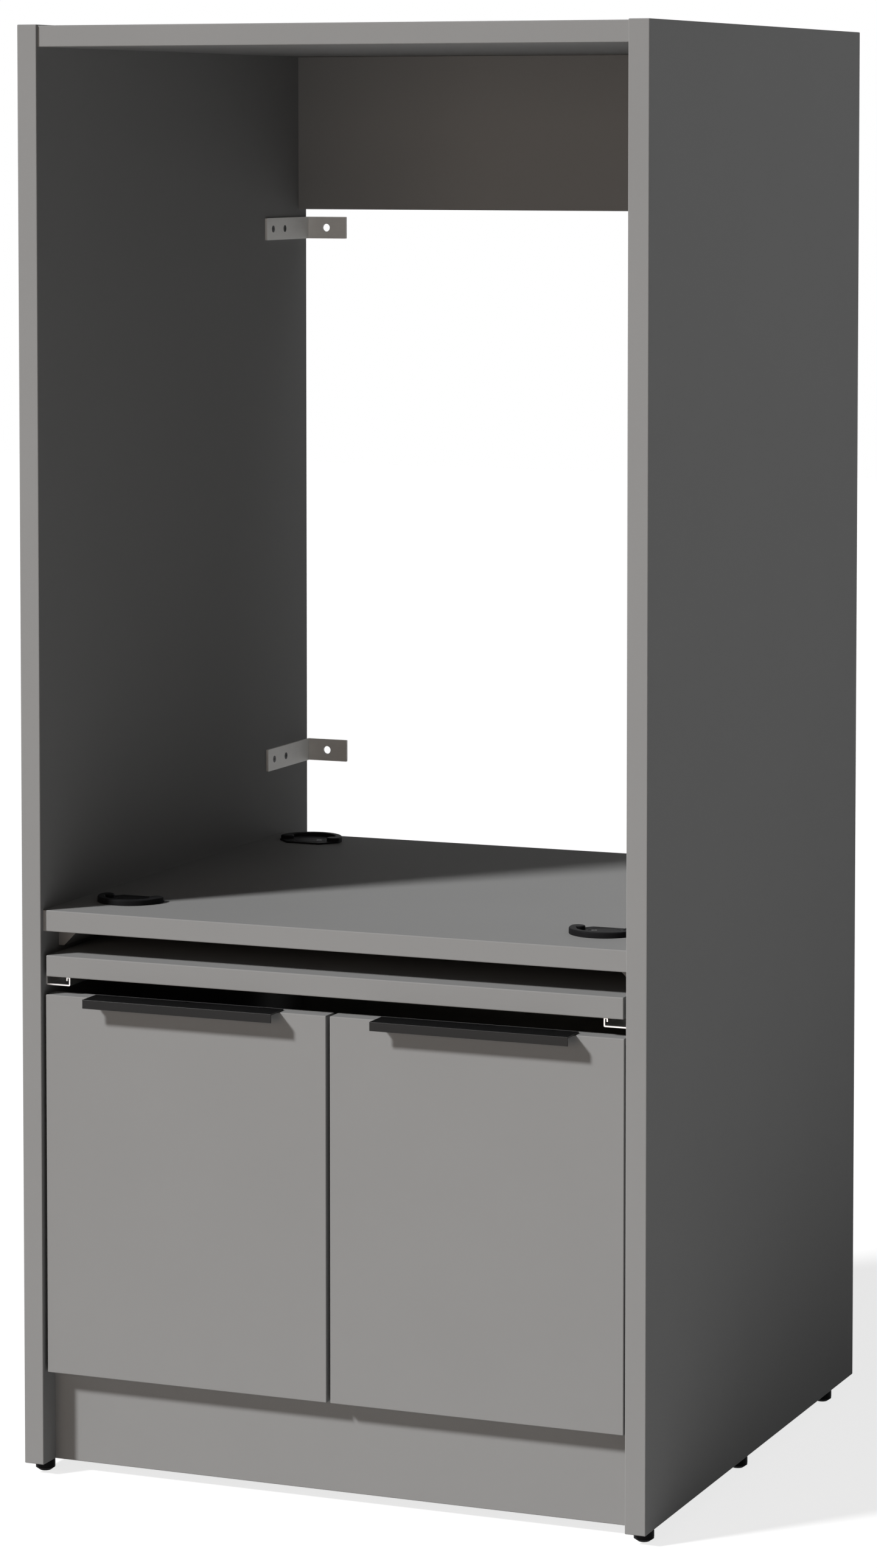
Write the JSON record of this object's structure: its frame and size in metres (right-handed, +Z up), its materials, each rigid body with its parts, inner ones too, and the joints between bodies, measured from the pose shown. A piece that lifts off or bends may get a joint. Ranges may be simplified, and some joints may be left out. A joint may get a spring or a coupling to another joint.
{
  "type": "washing machine cabinet",
  "caption": "Tall cabinet with an open niche that raises a washing machine on a shelf, with a pull-out shelf and hinged doors below.",
  "frame": {"origin": "on the floor, below the middle of the whole cabinet", "axes": "+X to the right seen from the front, +Y to the back, +Z up; the doors face -Y"},
  "size_m": [0.69, 0.6942, 1.51],
  "materials": {
    "grey_board": "smooth matt grey lacquer on board",
    "black_aluminium": "matt black anodised",
    "black_steel": "blackened screw heads",
    "zinc_steel": "bright zinc plating",
    "runner_steel": "pale zinc-plated sheet",
    "bracket_steel": "dull zinc-plated strip",
    "black_plastic": "moulded black, fine texture",
    "white_plastic": "white nylon strip",
    "soft_bumper": "clear soft plastic",
    "beech_dowel": "fluted beech"
  },
  "bodies": {
    "cabinet": {"left_side_panel": "grey_board", "right_side_panel": "grey_board", "top_panel": "grey_board", "back_rail": "grey_board", "machine_shelf": "grey_board", "bottom_panel": "grey_board", "plinth_board": "grey_board", "lower_back_panel": "grey_board", "left_shelf_batten": "grey_board", "right_shelf_batten": "grey_board", "carcass_dowels": "beech_dowel", "panel_screws": "black_steel", "door_bumpers": "soft_bumper", "cup_screws": "black_steel", "foot_inserts": "zinc_steel", "rail_screws": "zinc_steel", "hinge_plates": "zinc_steel", "hinge_screws": "zinc_steel", "left_lower_wall_bracket": "bracket_steel", "left_upper_wall_bracket": "bracket_steel", "left_front_machine_foot_cup": "black_plastic", "left_rear_machine_foot_cup": "black_plastic", "left_runner_rail": "runner_steel", "left_runner_glide": "white_plastic", "left_lower_hinge_arm": "zinc_steel", "left_upper_hinge_arm": "zinc_steel", "right_lower_wall_bracket": "bracket_steel", "right_upper_wall_bracket": "bracket_steel", "right_front_machine_foot_cup": "black_plastic", "right_rear_machine_foot_cup": "black_plastic", "right_runner_rail": "runner_steel", "right_runner_glide": "white_plastic", "right_lower_hinge_arm": "zinc_steel", "right_upper_hinge_arm": "zinc_steel"},
    "pull_out": {"pull_out_shelf": "grey_board", "left_runner_slide": "runner_steel", "right_runner_slide": "runner_steel", "slide_screws": "zinc_steel"},
    "left_inner_links": {"left_hinge_inner_links": "zinc_steel"},
    "left_door": {"left_door": "grey_board", "left_handle": "black_aluminium", "left_handle_screws": "black_steel", "left_hinge_cup_screws": "zinc_steel", "left_lower_hinge_cup": "zinc_steel", "left_upper_hinge_cup": "zinc_steel"},
    "left_outer_links": {"left_hinge_outer_links": "zinc_steel"},
    "right_inner_links": {"right_hinge_inner_links": "zinc_steel"},
    "right_door": {"right_door": "grey_board", "right_handle": "black_aluminium", "right_handle_screws": "black_steel", "right_hinge_cup_screws": "zinc_steel", "right_lower_hinge_cup": "zinc_steel", "right_upper_hinge_cup": "zinc_steel"},
    "right_outer_links": {"right_hinge_outer_links": "zinc_steel"},
    "left_front_foot": {"left_front_foot": "black_plastic"},
    "left_middle_foot": {"left_middle_foot": "black_plastic"},
    "left_rear_foot": {"left_rear_foot": "black_plastic"},
    "right_front_foot": {"right_front_foot": "black_plastic"},
    "right_middle_foot": {"right_middle_foot": "black_plastic"},
    "right_rear_foot": {"right_rear_foot": "black_plastic"}
  },
  "joints": [
    {"name": "pull_out_slide", "type": "slide", "parent": "cabinet", "child": "pull_out", "axis": [0, -1, 0], "range_m": [0, 0.35]},
    {"name": "left_inner_link_turn", "type": "hinge", "parent": "cabinet", "child": "left_inner_links", "pos_m": [-0.29453, -0.26828, 0.308], "axis": [0, 0, 1], "range_deg": [0, 16.11]},
    {"name": "left_door_swing", "type": "hinge", "parent": "left_inner_links", "child": "left_door", "pos_m": [-0.31238, -0.31342, 0.308], "axis": [0, 0, -1], "range_deg": [0, 111.06]},
    {"name": "left_outer_link_turn", "type": "hinge", "parent": "left_door", "child": "left_outer_links", "pos_m": [-0.30761, -0.31445, 0.308], "axis": [0, 0, 1], "range_deg": [0, 110.3]},
    {"name": "right_inner_link_turn", "type": "hinge", "parent": "cabinet", "child": "right_inner_links", "pos_m": [0.29453, -0.26828, 0.308], "axis": [0, 0, -1], "range_deg": [0, 16.11]},
    {"name": "right_door_swing", "type": "hinge", "parent": "right_inner_links", "child": "right_door", "pos_m": [0.31238, -0.31342, 0.308], "axis": [0, 0, 1], "range_deg": [0, 111.06]},
    {"name": "right_outer_link_turn", "type": "hinge", "parent": "right_door", "child": "right_outer_links", "pos_m": [0.30761, -0.31445, 0.308], "axis": [0, 0, -1], "range_deg": [0, 110.3]},
    {"name": "left_front_foot_turn", "type": "hinge", "parent": "cabinet", "child": "left_front_foot", "pos_m": [-0.334, -0.30545, 0.006], "axis": [0, 0, 1], "continuous": true},
    {"name": "left_middle_foot_turn", "type": "hinge", "parent": "cabinet", "child": "left_middle_foot", "pos_m": [-0.334, -0.01895, 0.006], "axis": [0, 0, 1], "continuous": true},
    {"name": "left_rear_foot_turn", "type": "hinge", "parent": "cabinet", "child": "left_rear_foot", "pos_m": [-0.334, 0.26755, 0.006], "axis": [0, 0, 1], "continuous": true},
    {"name": "right_front_foot_turn", "type": "hinge", "parent": "cabinet", "child": "right_front_foot", "pos_m": [0.334, -0.30545, 0.006], "axis": [0, 0, 1], "continuous": true},
    {"name": "right_middle_foot_turn", "type": "hinge", "parent": "cabinet", "child": "right_middle_foot", "pos_m": [0.334, -0.01895, 0.006], "axis": [0, 0, 1], "continuous": true},
    {"name": "right_rear_foot_turn", "type": "hinge", "parent": "cabinet", "child": "right_rear_foot", "pos_m": [0.334, 0.26755, 0.006], "axis": [0, 0, 1], "continuous": true}
  ],
  "couplings": [
    {"joint": "left_inner_link_turn", "follows": "left_door_swing", "ratio": 0.14457},
    {"joint": "left_outer_link_turn", "follows": "left_door_swing", "ratio": 0.9923},
    {"joint": "right_inner_link_turn", "follows": "right_door_swing", "ratio": 0.14457},
    {"joint": "right_outer_link_turn", "follows": "right_door_swing", "ratio": 0.9923}
  ]
}
